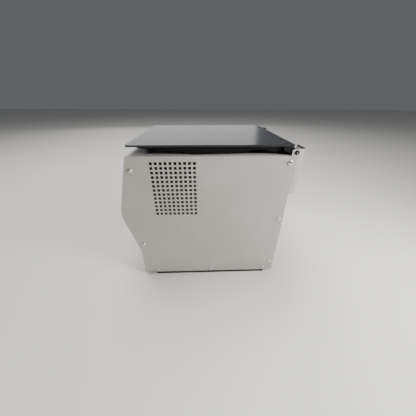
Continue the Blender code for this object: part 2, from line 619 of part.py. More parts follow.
def electronics(face):
    board = Shape().box((-0.106, 0.036), (-0.066, 0.106), (0.020, 0.0216))
    chips = Shape()
    for x, y, wide, deep, tall in ((-0.08, -0.03, 0.020, 0.020, 0.004), (-0.04, -0.03, 0.014, 0.030, 0.004),
                                   (0.005, -0.02, 0.010, 0.030, 0.025), (-0.08, 0.05, 0.025, 0.012, 0.010),
                                   (-0.03, 0.06, 0.040, 0.015, 0.030), (0.015, 0.07, 0.012, 0.012, 0.020)):
        chips.box((x - wide / 2, x + wide / 2), (y - deep / 2, y + deep / 2), (0.021, 0.0216 + tall))
    part("main_board", BOARD, board, join=[chips])
    part("power_supply", STEEL, Shape().box((0.044, 0.112), (-0.030, 0.106), (0.0094, 0.058)))
    glass = Shape().prism(rounded((WINDOW_X[0] - 0.002, WINDOW_X[1] + 0.002),
                                  (WINDOW_V[0] - 0.002, WINDOW_V[1] + 0.002),
                                  0.0015, 2), "Z", -0.0036, -0.0018)
    pane = Shape().prism(rounded((WINDOW_X[0] + GAP, WINDOW_X[1] - GAP),
                                 (WINDOW_V[0] + GAP, WINDOW_V[1] - GAP),
                                 0.0012, 2), "Z", -0.0025, -0.0004)
    part("display_window", GLASS, glass, join=[pane], parent=face)
    display = Shape().box((-0.080, 0.032), (-0.054, -0.008), (-0.0136, -0.0120))
    panel = Shape().box((-0.075, 0.027), (-0.047, -0.015), (-0.0125, -0.0040))
    part("display_module", BOARD, display, join=[panel], parent=face)
    low, high = -0.0072, -0.0056
    keypad = Shape().prism([(-0.073, -0.079), (0.103, -0.079), (0.103, -0.010), (0.041, -0.010),
                            (0.041, -0.058),
                            (-0.073, -0.058)], "Z", low, high)
    switches = Shape()
    for x, v in KEYS.values():
        switches.box((x - 0.003, x + 0.003), (v - 0.003, v + 0.003), (high - 0.0005, -0.0045))
    part("keypad_board", BOARD, keypad, join=[switches], parent=face)


def keys(face):
    colours = {"key_start": KEY_GREEN, "key_stop": KEY_RED}
    for name, (x, v) in KEYS.items():
        width, height = KEY_HALF
        cap = Shape().box((x - width, x + width), (v - height, v + height), (-0.0025, 0.0018))
        skirt = Shape().box((x - width - 0.0014, x + width + 0.0014),
                            (v - height - 0.0014, v + height + 0.0014),
                            (-0.0029, -0.0018))
        top = Shape().box((x - width + 0.0008, x + width - 0.0008),
                          (v - height + 0.0008, v + height - 0.0008),
                          (0.0010, 0.0022))
        part(name, colours.get(name, KEY_GREY), cap, join=[skirt, top], origin=(x, v, 0), parent=face)


def rear_fittings():
    x, z = INLET
    back, out = REAR - GAP, REAR
    body = Shape().box((x - 0.0138, x + 0.0138), (0.122, out + 0.001), (z - 0.0168, z + 0.0168))
    flange = Shape().prism(rounded((x - 0.0245, x + 0.0245), (z - 0.0205, z + 0.0205), 0.003), "Y", out,
                           out + 0.0025)
    socket = Shape().prism([(x - 0.012, z - 0.001), (x + 0.012, z - 0.001), (x + 0.012, z + 0.010),
                            (x + 0.009, z + 0.015),
                            (x - 0.009, z + 0.015), (x - 0.012, z + 0.010)], "Y", 0.1325, 0.156)
    drawer_hole = Shape().box((x - 0.0120, x + 0.0120), (0.125, 0.156), (z - 0.0145, z - 0.0035))
    pins = Shape()
    for place, height in ((-0.007, 0.0045), (0.0, 0.0095), (0.007, 0.0045)):
        pins.box((x + place - 0.001, x + place + 0.001), (0.131, 0.1455),
                 (z + height - 0.002, z + height + 0.002))
    part("mains_inlet", MOULDED_BLACK, body, join=[flange], cut=[socket, drawer_hole], fill=[pins])
    drawer = Shape().box((x - 0.0117, x + 0.0117), (0.1265, out + 0.0030), (z - 0.0142, z - 0.0038))
    pull = Shape().box((x - 0.0117, x + 0.0117), (out + 0.0028, out + 0.0045), (z - 0.0142, z - 0.0110))
    part("fuse_drawer", CHARCOAL, drawer, join=[pull])
    x, z = SWITCH
    case = Shape().box((x - 0.0115, x + 0.0115), (0.126, out + 0.001), (z - 0.0155, z + 0.0155))
    rim = Shape().prism(rounded((x - 0.0145, x + 0.0145), (z - 0.0185, z + 0.0185), 0.002), "Y", out,
                        out + 0.002)
    well = Shape().box((x - 0.0095, x + 0.0095), (0.1395, 0.156), (z - 0.0136, z + 0.0136))
    part("power_switch_body", MOULDED_BLACK, case, join=[rim], cut=[well])
    pivot = Vector((x, 0.1465, z))
    rock = [(-0.0035, -0.004), (-0.001, -0.0124), (0.0046, -0.0124), (0.0034, 0), (0.0046, 0.0124),
            (-0.001, 0.0124), (-0.0035, 0.004)]
    rocker = Shape().prism(rock, "X", -0.0091, 0.0091)
    rocker.turn(Matrix.Translation(pivot) @ Matrix.Rotation(ROCKER_TILT, 4, "X"))
    part("power_rocker", CHARCOAL, rocker, origin=pivot)
    x, z = SERIAL
    plate = Shape().prism(rounded((x - 0.0155, x + 0.0155), (z - 0.0063, z + 0.0063), 0.0015), "Y", out,
                          out + 0.001)
    shell = Shape().prism([(x - 0.0082, z - 0.0040), (x + 0.0082, z - 0.0040), (x + 0.0092, z + 0.0040),
                           (x - 0.0092, z + 0.0040)], "Y", 0.138, out + 0.006)
    bowl = Shape().prism([(x - 0.0074, z - 0.0033), (x + 0.0074, z - 0.0033), (x + 0.0084, z + 0.0033),
                          (x - 0.0084, z + 0.0033)], "Y", back + 0.0005, out + 0.008)
    part("serial_port", STEEL, plate, join=[shell], cut=[bowl])


def control_face():
    """The frame of the controls: X across, Y up the slope, Z out of the panel, from its top edge."""
    (y0, z0), (y1, z1) = FRONT_CORNERS[:2]
    lean = math.atan2(y0 - y1, z0 - z1)
    empty = bpy.data.objects.new("control_face", None)
    empty.location = (0, y0 + FRONT_INSET * math.cos(lean), z0 - FRONT_INSET * math.sin(lean))
    empty.rotation_euler = (math.pi / 2 - lean, 0, 0)
    bpy.context.scene.collection.objects.link(empty)
    return empty


def hang_lid():
    """Parents what opens with the lid to an empty on its hinge axis, and leaves it where it is."""
    hinge = bpy.data.objects.new("lid_hinge_axis", None)
    hinge.location = (0, HINGE_Y, HINGE_Z)
    bpy.context.scene.collection.objects.link(hinge)
    bpy.context.view_layer.update()
    for obj in bpy.data.objects:
        if obj.name.startswith(("lid_", "platen", "heater_mat", "latch_lever", "latch_pin")):
            if obj != hinge and not obj.name.startswith("lid_stop_buffer"):
                obj.parent = hinge
                obj.matrix_parent_inverse = hinge.matrix_world.inverted()


def main():
    for obj in list(bpy.data.objects):
        bpy.data.objects.remove(obj, do_unlink=True)
    face = control_face()
    side_panels()
    side_screws()
    base_pan()
    rubber_runners()
    front_panel(face)
    top_deck()
    rear_panel()
    hinge_bracket()
    hinge_pins()
    lid_plate()
    lid_shell()
    hinge_arms()
    platen()
    platen_springs()
    latch()
    sample_block()
    bay_frame()
    peltiers_and_heat_sink()
    fan()
    electronics(face)
    keys(face)
    rear_fittings()
    hang_lid()


main()
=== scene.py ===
"""The looks of a bench-top thermal cycler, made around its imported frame. Metres, +Z up, front towards -Y."""

import json
import math

import bmesh
import bpy
from mathutils import Matrix, Vector


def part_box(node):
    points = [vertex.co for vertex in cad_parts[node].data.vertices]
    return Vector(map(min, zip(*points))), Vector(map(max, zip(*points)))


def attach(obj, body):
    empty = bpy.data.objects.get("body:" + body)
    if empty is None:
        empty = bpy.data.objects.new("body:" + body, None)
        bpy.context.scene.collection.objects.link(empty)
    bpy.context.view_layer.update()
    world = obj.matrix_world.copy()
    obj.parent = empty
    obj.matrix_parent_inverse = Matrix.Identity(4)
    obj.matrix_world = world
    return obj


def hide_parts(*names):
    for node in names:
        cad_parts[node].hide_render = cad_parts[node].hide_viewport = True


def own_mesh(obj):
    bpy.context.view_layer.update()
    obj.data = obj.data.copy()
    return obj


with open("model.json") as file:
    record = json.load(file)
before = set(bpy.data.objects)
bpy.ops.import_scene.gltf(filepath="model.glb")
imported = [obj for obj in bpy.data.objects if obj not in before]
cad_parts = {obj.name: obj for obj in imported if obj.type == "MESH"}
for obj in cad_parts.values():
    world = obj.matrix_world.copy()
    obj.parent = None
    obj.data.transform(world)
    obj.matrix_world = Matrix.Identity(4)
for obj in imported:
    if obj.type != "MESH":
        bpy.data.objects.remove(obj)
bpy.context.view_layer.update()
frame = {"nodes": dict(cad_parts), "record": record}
NODES = frame["nodes"]

# --- Camera, stage and light ---------------------------------------------------------------------

CAMERA_PLACE = Vector((0.4339, -0.0095, 0.3540))
CAMERA_FORWARD = Vector((-0.8648, 0.0328, -0.5010))
CAMERA_UP = Vector((-0.5009, 0.0141, 0.8654))
CAMERA_LENS = 16.82


def add_camera():
    camera = bpy.data.objects.new("camera", bpy.data.cameras.new("camera"))
    camera.data.lens = CAMERA_LENS
    camera.data.sensor_width = 36
    camera.data.clip_start = 0.01
    forward = CAMERA_FORWARD.normalized()
    side = forward.cross(CAMERA_UP).normalized()
    turn = Matrix((side, side.cross(forward), -forward)).transposed()
    camera.matrix_world = Matrix.Translation(CAMERA_PLACE) @ turn.to_4x4()
    bpy.context.scene.collection.objects.link(camera)
    bpy.context.scene.camera = camera


def add_softbox(name, place, aim, size, power):
    lamp = bpy.data.lights.new(name, "AREA")
    lamp.shape = "RECTANGLE"
    lamp.size, lamp.size_y = size
    lamp.energy = power
    obj = bpy.data.objects.new(name, lamp)
    obj.visible_camera = False
    obj.location = place
    obj.rotation_euler = (Vector(aim) - Vector(place)).to_track_quat("-Z", "Y").to_euler()
    bpy.context.scene.collection.objects.link(obj)


# --- Materials -------------------------------------------------------------------------------------

class Signal:
    """A number, colour or vector in a shader. Arithmetic on it adds Math nodes."""

    def __init__(self, finish, socket):
        self.finish = finish
        self.socket = socket

    def math(self, operation, first, second=0.0, clamp=False):
        settings = {"operation": operation, "use_clamp": clamp}
        return self.finish.node("ShaderNodeMath", settings, {0: first, 1: second})

    def __add__(self, other):
        return self.math("ADD", self, other)

    def __sub__(self, other):
        return self.math("SUBTRACT", self, other)

    def __rsub__(self, other):
        return self.math("SUBTRACT", other, self)

    def __mul__(self, other):
        return self.math("MULTIPLY", self, other)

    __radd__ = __add__
    __rmul__ = __mul__

    def between(self, low, high):
        """0 under low, 1 over high, and a smooth rise from one to the other."""
        sockets = {"Value": self, "From Min": low, "From Max": high}
        return self.finish.node("ShaderNodeMapRange", {"interpolation_type": "SMOOTHSTEP"}, sockets)


class Finish:
    """A material being built up around one Principled shader. Constants go on the shader's own sockets."""

    def __init__(self, name, **constants):
        self.material = bpy.data.materials.new(name)
        self.material.use_nodes = True
        self.tree = self.material.node_tree
        self.shader = self.tree.nodes["Principled BSDF"]
        for socket, value in constants.items():
            self.shader.inputs[socket.replace("_", " ")].default_value = value

    def node(self, kind, settings=None, sockets=None, out=0):
        node = self.tree.nodes.new(kind)
        for name, value in (settings or {}).items():
            if name == "stops":
                for element, (place, colour) in zip((*node.color_ramp.elements,), value):
                    element.position, element.color = place, (*colour, 1)
            else:
                setattr(node, name, value)
        for key, value in (sockets or {}).items():
            if isinstance(value, Signal):
                self.tree.links.new(value.socket, node.inputs[key])
            else:
                node.inputs[key].default_value = value
        return Signal(self, node.outputs[out])

    def coordinates(self, stretch=(1, 1, 1), turn=(0, 0, 0)):
        """The piece's own place, in metres, stretched and turned."""
        here = self.node("ShaderNodeTexCoord", out="Object")
        return self.node("ShaderNodeMapping", {}, {"Vector": here, "Scale": stretch, "Rotation": turn})

    def axis(self, letter):
        """One coordinate of the piece's own place, in metres."""
        return self.node("ShaderNodeSeparateXYZ", {}, {"Vector": self.coordinates()}, letter)

    def noise(self, size, detail=2.0, rough=0.5, stretch=(1, 1, 1), turn=(0, 0, 0)):
        """Noise from 0 to 1 whose patches are about as large as size, in metres."""
        sockets = {"Vector": self.coordinates(stretch, turn), "Scale": 1 / size, "Detail": detail,
                   "Roughness": rough}
        return self.node("ShaderNodeTexNoise", {}, sockets)

    def cells(self, size, feature="F1", stretch=(1, 1, 1)):
        sockets = {"Vector": self.coordinates(stretch), "Scale": 1 / size}
        return self.node("ShaderNodeTexVoronoi", {"feature": feature}, sockets)

    def mix(self, amount, low, high):
        """One colour turning into another."""
        low, high = (colour if isinstance(colour, Signal) else (*colour, 1) for colour in (low, high))
        return self.node("ShaderNodeMix", {"data_type": "RGBA"}, {0: amount, 6: low, 7: high}, 2)

    def bump(self, height, depth):
        """Raises the surface by height, from 0 to 1, times a depth in metres."""
        normal = self.node("ShaderNodeBump", {}, {"Height": height, "Distance": depth, "Strength": 1.0})
        self.use(Normal=normal)

    def use(self, **signals):
        for socket, signal in signals.items():
            self.tree.links.new(signal.socket, self.shader.inputs[socket.replace("_", " ")])
        return self


def paint(name, colour, dark, light):
    """Satin powder coat on sheet steel: an even tone with faint clouding, dust and a fine orange peel, and
    painted shade darkening it towards the floor.
    """
    finish = Finish(name, IOR=1.45)
    cloud = finish.noise(0.09, 3, 0.55)
    speck = finish.noise(0.0011, 2, 0.6).between(0.66, 0.74)
    streak = finish.noise(0.02, 4, 0.6, stretch=(1, 1, 0.25)).between(0.45, 0.75)
    tone = finish.mix(cloud.between(0.35, 0.65), dark, light)
    tone = finish.mix(streak * 0.14, tone, colour)
    # Painted shade: the colour darkens over the lowest few centimetres of the piece, towards the floor.
    low = 1 - finish.axis("Z").between(0.006, 0.040)
    tone = finish.mix(low * 0.16, tone, tuple(0.62 * part for part in colour))
    tone = finish.mix(speck * 0.10, tone, tuple(0.55 * part for part in colour))
    finish.use(Base_Color=tone, Roughness=0.44 + cloud * 0.10 + speck * 0.06)
    peel = finish.noise(0.0013, 2, 0.5) * 0.7 + finish.noise(0.0005, 1, 0.5) * 0.3
    finish.bump(peel, 0.00005)
    return finish.material


def gloss_black():
    """Smooth black sheet with a thin film of dust, wiping marks and hairline scratches."""
    finish = Finish("lid_gloss_black", IOR=1.6, Coat_Roughness=0.18, Coat_IOR=1.55)
    wipe = finish.noise(0.035, 4, 0.55, stretch=(0.35, 1, 1), turn=(0, 0, 0.4))
    hair = finish.noise(0.004, 3, 0.7, stretch=(0.05, 1, 1), turn=(0, 0, 0.9)).between(0.62, 0.70)
    dust = finish.noise(0.0007, 1, 0.5).between(0.70, 0.76)
    base = finish.mix(wipe.between(0.35, 0.75) * 0.6, (0.010, 0.011, 0.013), (0.020, 0.022, 0.026))
    base = finish.mix(dust * 0.5, base, (0.10, 0.10, 0.10))
    finish.use(Base_Color=base, Roughness=0.24 + wipe * 0.12 + hair * 0.10, Coat_Weight=0.30 + wipe * 0.25)
    finish.bump(hair * 0.5 + wipe * 0.2, 0.00001)
    return finish.material


def moulding(name, colour, rough=0.42, grain=0.0007, depth=0.00006, gloss=0.5):
    """Moulded plastic with a spark-eroded grain."""
    finish = Finish(name, IOR=1.5, Specular_IOR_Level=gloss)
    fine = finish.cells(grain) * 0.6 + finish.noise(grain * 0.7, 2, 0.6) * 0.6
    handled = finish.noise(0.03, 3, 0.5).between(0.35, 0.7)
    tone = finish.mix(handled, colour, tuple(min(1, part * 1.35 + 0.0015) for part in colour))
    finish.use(Base_Color=tone, Roughness=rough + fine * 0.10 - handled * 0.06)
    finish.bump(fine, depth)
    return finish.material


def plated(name, colour, rough=0.24, tarnish=(0.20, 0.19, 0.16), size=0.004):
    """Bright plated steel, dulled in patches."""
    finish = Finish(name, IOR=1.9)
    dull = finish.noise(size, 4, 0.65).between(0.45, 0.8)
    scratch = finish.noise(0.0012, 3, 0.7, stretch=(1, 0.08, 1), turn=(0.3, 0.2, 0.5))
    tone = finish.mix(dull * 0.55, colour, tarnish)
    finish.use(Base_Color=tone, Roughness=rough + dull * 0.22 + scratch * 0.08, Metallic=1 - dull * 0.15)
    finish.bump(scratch, 0.000012)
    return finish.material


def machined(name, colour, stretch, rough=0.28):
    """Milled aluminium, its tool lines along one axis."""
    finish = Finish(name)
    lines = finish.noise(0.0009, 3, 0.6, stretch=stretch)
    cloud = finish.noise(0.02, 3, 0.5)
    tone = finish.mix(lines * 0.6 + cloud * 0.3, tuple(0.72 * part for part in colour), colour)
    finish.use(Base_Color=tone, Roughness=rough + lines * 0.16 + cloud * 0.06, Metallic=0.94 + lines * 0.06)
    finish.bump(lines, 0.00003)
    return finish.material


def rubber():
    finish = Finish("black_rubber", IOR=1.5)
    fine = finish.noise(0.0009, 3, 0.6)
    dust = finish.noise(0.008, 3, 0.6).between(0.5, 0.75)
    tone = finish.mix(dust * 0.5, (0.016, 0.016, 0.016), (0.06, 0.057, 0.052))
    finish.use(Base_Color=tone, Roughness=0.68 + fine * 0.2)
    finish.bump(fine, 0.00008)
    return finish.material


def silicone():
    """Glass-cloth reinforced silicone: a woven print under a soft skin."""
    finish = Finish("heater_silicone", IOR=1.42)
    across = finish.node("ShaderNodeTexWave", {"bands_direction": "X"},
                         {"Vector": finish.coordinates(), "Scale": 420.0, "Distortion": 0.4})
    along = finish.node("ShaderNodeTexWave", {"bands_direction": "Y"},
                        {"Vector": finish.coordinates(), "Scale": 420.0, "Distortion": 0.4})
    weave = across * 0.5 + along * 0.5
    tone = finish.mix(weave, (0.30, 0.07, 0.022), (0.44, 0.115, 0.04))
    finish.use(Base_Color=tone, Roughness=0.62 + weave * 0.12)
    finish.bump(weave, 0.0001)
    return finish.material


def ceramic():
    finish = Finish("alumina", IOR=1.6)
    fine = finish.noise(0.0015, 3, 0.6)
    stain = finish.noise(0.012, 3, 0.6).between(0.5, 0.8)
    tone = finish.mix(stain * 0.4, (0.80, 0.79, 0.75), (0.62, 0.58, 0.50))
    finish.use(Base_Color=tone, Roughness=0.5 + fine * 0.2)
    finish.bump(fine, 0.00002)
    return finish.material


def circuit_board():
    """Green solder mask over copper tracks and pads."""
    finish = Finish("circuit_board", IOR=1.5)
    tracks = finish.node("ShaderNodeTexBrick", {"offset": 0.5}, {
        "Vector": finish.coordinates(), "Scale": 260.0, "Color1": (1, 1, 1, 1), "Color2": (0.7, 0.7, 0.7, 1),
        "Mortar": (0, 0, 0, 1), "Mortar Size": 0.12})
    pads = 1 - finish.cells(0.0035).between(0.16, 0.24)
    mask = finish.mix(tracks, (0.008, 0.085, 0.028), (0.014, 0.135, 0.045))
    tone = finish.mix(pads * 0.8, mask, (0.52, 0.50, 0.44))
    finish.use(Base_Color=tone, Roughness=0.30 + tracks * 0.1 + pads * 0.1, Metallic=pads * 0.8)
    finish.bump(tracks * 0.5 + pads * 0.5, 0.00005)
    return finish.material


def lcd():
    """Backlit liquid-crystal glass with its empty character cells just visible."""
    finish = Finish("lcd_glass", IOR=1.5, Emission_Strength=0.35)
    cell = finish.node("ShaderNodeTexBrick", {"offset": 0.0}, {
        "Vector": finish.coordinates((1, 1.035, 1.035)), "Scale": 205.0, "Color1": (1, 1, 1,
                                                                                    1), "Color2": (1, 1, 1,
                                                                                                   1),
        "Mortar": (0, 0, 0, 1), "Mortar Size": 0.10, "Brick Width": 1.0, "Row Height": 1.0})
    glow = finish.noise(0.05, 2, 0.5)
    tone = finish.mix(cell * 0.35 + glow * 0.3, (0.20, 0.26, 0.05), (0.30, 0.40, 0.10))
    finish.use(Base_Color=tone, Emission_Color=tone, Roughness=0.22 + cell * 0.06)
    return finish.material


def tinted_window():
    finish = Finish("tinted_window", IOR=1.49, Alpha=0.22)
    haze = finish.noise(0.02, 4, 0.6)
    finish.use(Base_Color=finish.mix(haze, (0.03, 0.05, 0.035), (0.05, 0.07, 0.05)),
               Roughness=0.05 + haze * 0.08)
    return finish.material


def floor_material():
    finish = Finish("pale_floor", IOR=1.4)
    grain = finish.noise(0.25, 3, 0.5)
    finish.use(Base_Color=finish.mix(grain, (0.80, 0.775, 0.735), (0.84, 0.815, 0.775)),
               Roughness=0.75 + grain * 0.1)
    return finish.material


FINISHES = {
    "case_paint": paint("case_paint_finish", (0.50, 0.475, 0.435), (0.48, 0.455, 0.418), (0.525, 0.50, 0.46)),
    "bracket_paint": paint("bracket_paint_finish", (0.60, 0.575, 0.53), (0.585, 0.56, 0.515),
                           (0.625, 0.60, 0.555)),
    "lid_black": gloss_black(),
    "moulded_black": moulding("moulded_black_finish", (0.004, 0.004, 0.0045), 0.55, gloss=0.18),
    "charcoal": moulding("charcoal_finish", (0.020, 0.020, 0.022), 0.34),
    "rubber": rubber(),
    "bright_steel": plated("bright_plating", (0.86, 0.85, 0.82), 0.17),
    "dark_steel": plated("black_oxide", (0.045, 0.045, 0.05), 0.34, (0.10, 0.085, 0.07)),
    "aluminium": machined("milled_aluminium", (0.78, 0.79, 0.80), (1, 0.04, 1)),
    "silicone": silicone(),
    "ceramic": ceramic(),
    "circuit_board": circuit_board(),
    "window": tinted_window(),
    "key_grey": moulding("key_grey_finish", (0.17, 0.18, 0.20), 0.46, 0.0005, 0.00003),
    "key_green": moulding("key_green_finish", (0.03, 0.22, 0.08), 0.46, 0.0005, 0.00003),
    "key_red": moulding("key_red_finish", (0.40, 0.03, 0.025), 0.46, 0.0005, 0.00003),
}
LCD = lcd()
SYMBOL_WHITE = moulding("symbol_white", (0.72, 0.72, 0.70), 0.5, 0.0004, 0.00001)
PANEL_X = 0.120
WELL_PITCH = 0.009
FAN_MIDDLE_Z = 0.150
FAN_SCREW = 0.0413
LID_SCREW_X = (0.079, 0.106)
LID_SCREW_Y = 0.133
REAR_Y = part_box("rear_panel")[1][1]
LEAN = math.atan2(0.161 - 0.1325, 0.2686 - 0.160)
FACE_PLACE = (0, -0.1325 + 0.0006 * math.cos(LEAN), 0.2686 - 0.0006 * math.sin(LEAN))
FACE = Matrix.Translation(FACE_PLACE) @ Matrix.Rotation(math.pi / 2 - LEAN, 4, "X")
KEY_PLACES = {
    "key_up": (0.072, -0.019), "key_left": (0.052, -0.036), "key_enter": (0.072, -0.036),
    "key_right": (0.092, -0.036), "key_down": (0.072, -0.053), "key_menu": (-0.062, -0.068),
    "key_start": (-0.024, -0.068), "key_stop": (0.014, -0.068),
}
SLOT_OF = {part["node"]: part["material_slot"] for part in frame["record"]["subparts"]}
BODY_OF = {node: body for body, nodes in frame["record"]["behaviour"]["bodies"].items() for node in nodes}


# --- Mesh tools ------------------------------------------------------------------------------------

def piece(name, bm, body, slot, finish=None, replaces=(), crease=35, weighted=True):
    """A finished piece: a mesh that rides on a body, wears a slot's finish, and may stand for CAD nodes."""
    mesh = bpy.data.meshes.new(name)
    bm.to_mesh(mesh)
    bm.free()
    mesh.materials.append(finish or FINISHES[slot])
    mesh.shade_smooth()
    mesh.set_sharp_from_angle(angle=math.radians(crease))
    obj = bpy.data.objects.new(name, mesh)
    bpy.context.scene.collection.objects.link(obj)
    if weighted:
        modifier = obj.modifiers.new("even shading", "WEIGHTED_NORMAL")
        modifier.keep_sharp = True
        modifier.weight = 100
    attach(obj, body)
    if replaces:
        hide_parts(*replaces)
    return obj


def soften(bm, width, segments=2, angle=25):
    """Rounds every edge that turns by more than an angle. A width of nothing leaves them."""
    if not width:
        return
    sharp = [edge for edge in bm.edges if edge.is_manifold and edge.calc_face_angle() > math.radians(angle)]
    bmesh.ops.bevel(bm, geom=sharp, offset=width, offset_type="OFFSET", affect="EDGES", segments=segments,
                    profile=0.5, material=-1, clamp_overlap=True)


def copy_of(node):
    """A CAD node's mesh with its loose triangles joined and its flat faces made whole."""
    bm = bmesh.new()
    bm.from_mesh(NODES[node].data)
    bmesh.ops.remove_doubles(bm, verts=bm.verts, dist=1e-6)
    bmesh.ops.dissolve_limit(bm, angle_limit=math.radians(0.5), verts=bm.verts, edges=bm.edges)
    return bm


def softened(node, width=0.0003, segments=2):
    """The piece that stands for a CAD node and differs from it only by its rounded edges."""
    bm = copy_of(node)
    soften(bm, width, segments)
    return piece(f"{node}_shown", bm, BODY_OF[node], SLOT_OF[node], replaces=[node])


def carve(bm, tool, operation="DIFFERENCE"):
    """Cuts a tool's shape out of a mesh, or joins it on, and gives the finished mesh back."""
    objects = []
    for name, shape in (("carved", bm), ("tool", tool)):
        mesh = bpy.data.meshes.new(name)
        shape.to_mesh(mesh)
        shape.free()
        obj = bpy.data.objects.new(name, mesh)
        bpy.context.scene.collection.objects.link(obj)
        objects.append(obj)
    target, helper = objects
    modifier = target.modifiers.new("carve", "BOOLEAN")
    modifier.operation = operation
    modifier.solver = "EXACT"
    modifier.object = helper
    result = bmesh.new()
    result.from_object(target, bpy.context.evaluated_depsgraph_get())
    for obj in objects:
        mesh = obj.data
        bpy.data.objects.remove(obj)
        bpy.data.meshes.remove(mesh)
    return result


def turned(profile, steps=28):
    """A closed shape spun about Z from a profile of radius and height that starts and ends on the axis."""
    bm = bmesh.new()
    verts = [bm.verts.new((radius, 0, height)) for radius, height in profile]
    edges = [bm.edges.new(pair) for pair in zip(verts, verts[1:])]
    bmesh.ops.spin(bm, geom=verts + edges, cent=(0, 0, 0), axis=(0, 0, 1), angle=math.tau, steps=steps,
                   use_merge=True, use_duplicate=False)
    bmesh.ops.remove_doubles(bm, verts=bm.verts, dist=1e-6)
    bmesh.ops.recalc_face_normals(bm, faces=bm.faces)
    return bm


def slab(x, y, z):
    """A block between three pairs of limits."""
    bm = bmesh.new()
    bmesh.ops.create_cube(bm, size=1)
    bmesh.ops.scale(bm, vec=(x[1] - x[0], y[1] - y[0], z[1] - z[0]), verts=bm.verts)
    bmesh.ops.translate(bm, vec=(sum(x) / 2, sum(y) / 2, sum(z) / 2), verts=bm.verts)
    return bm


def place(bm, matrix):
    bmesh.ops.transform(bm, matrix=matrix, verts=bm.verts)
    return bm


# --- Fasteners -------------------------------------------------------------------------------------

OUT_OF = {
    "+X": Matrix.Rotation(math.pi / 2, 4, "Y"), "-X": Matrix.Rotation(-math.pi / 2, 4, "Y"),
    "+Y": Matrix.Rotation(-math.pi / 2, 4, "X"), "+Z": Matrix.Identity(4),
}
PAN_HEAD = [(1.0, 0.10), (1.0, 0.34), (0.96, 0.55), (0.86, 0.76), (0.66, 0.91), (0.36, 0.98), (0, 1.0)]
SUNK_HEAD = [(0.55, 0.0), (0.97, 0.72), (1.0, 0.86), (0.97, 1.0), (0, 1.0)]


def screw(name, where, way, body, slot, radius, height, shank, depth, head=PAN_HEAD, replaces=(), turn=0.0):
    """A cross-recess screw. Its head is given in parts of a radius and a height, its shank in metres."""
    profile = [(0, -depth), (shank, -depth), (shank, head[0][1] * height)]
    profile += [(part * radius, up * height) for part, up in head]
    bm = turned(profile)
    for angle in (0, math.pi / 2):
        blade = slab((-0.62 * radius, 0.62 * radius), (-0.16 * radius, 0.16 * radius),
                     (0.20 * height, 1.4 * height))
        low = [vert for vert in blade.verts if vert.co.z < height]
        bmesh.ops.scale(blade, vec=(0.55, 0.8, 1), verts=low)
        bm = carve(bm, place(blade, Matrix.Rotation(angle, 4, "Z")))
    place(bm, Matrix.Translation(where) @ OUT_OF[way] @ Matrix.Rotation(turn, 4, "Z"))
    return piece(name, bm, body, slot, replaces=replaces, crease=30)


def case_screws():
    """Eight on each side. The left side's stand over the heads that its panel carries."""
    for number in range(1, 9):
        node = f"side_screw_{number}"
        low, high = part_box(node)
        y, z = (low[1] + high[1]) / 2, (low[2] + high[2]) / 2
        turn = 0.7 + 1.9 * number
        radius = (high[2] - low[2]) / 2
        screw(f"{node}_shown", (PANEL_X, y, z), "+X", BODY_OF[node], SLOT_OF[node], radius, high[0] - PANEL_X,
              0.0017, 0.006, replaces=[node], turn=turn)
        screw(f"left_{node}_head", (-PANEL_X, y, z), "-X", "case", SLOT_OF[node], radius + 0.0001,
              high[0] - PANEL_X + 0.0001, 0.0017, 0.0004, turn=-turn)


def small_screws():
    """Dark ones sunk in the lid plate, and four that hold the fan to the rear panel."""
    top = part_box("lid_plate")[1][2]
    for side in (1, -1):
        for number, x in enumerate(LID_SCREW_X):
            name = f"lid_plate_screw_{'right' if side > 0 else 'left'}_{number + 1}"
            screw(name, (side * x, LID_SCREW_Y, top - 0.0016), "+Z", BODY_OF["lid_plate"], "dark_steel",
                  0.0039, 0.0013,
                  0.0015, 0.0001, head=SUNK_HEAD, turn=0.4 + number + side)
        for up in (1, -1):
            name = f"fan_screw_{'right' if side > 0 else 'left'}_{'upper' if up > 0 else 'lower'}"
            screw(name, (side * FAN_SCREW, REAR_Y, FAN_MIDDLE_Z + up * FAN_SCREW), "+Y", "case",
                  "bright_steel", 0.0034, 0.0019,
                  0.0013, 0.0004, turn=side + 0.5 * up)


def hinge_pins():
    """Each pin's head is dark, with a turned recess and the bright end of the pin in it."""
    for side, way in ((1, "+X"), (-1, "-X")):
        node = "hinge_pin_right" if side > 0 else "hinge_pin_left"
        low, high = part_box(node)
        middle = ((low[1] + high[1]) / 2, (low[2] + high[2]) / 2)
        bm = copy_of(node)
        hole = turned([(0, 0.0010), (0.0017, 0.0010), (0.0019, 0.0030), (0, 0.0030)])
        bm = carve(bm, place(hole, Matrix.Translation((side * PANEL_X, *middle)) @ OUT_OF[way]))
        soften(bm, 0.0001, 2, 40)
        piece(f"{node}_shown", bm, BODY_OF[node], SLOT_OF[node], replaces=[node])
        end = turned([(0, 0.0008), (0.0014, 0.0008), (0.0014, 0.0014), (0.0010, 0.0018), (0, 0.0019)])
        place(end, Matrix.Translation((side * PANEL_X, *middle)) @ OUT_OF[way])
        piece(f"{node}_end", end, BODY_OF[node], "bright_steel")


# --- Sample block ----------------------------------------------------------------------------------

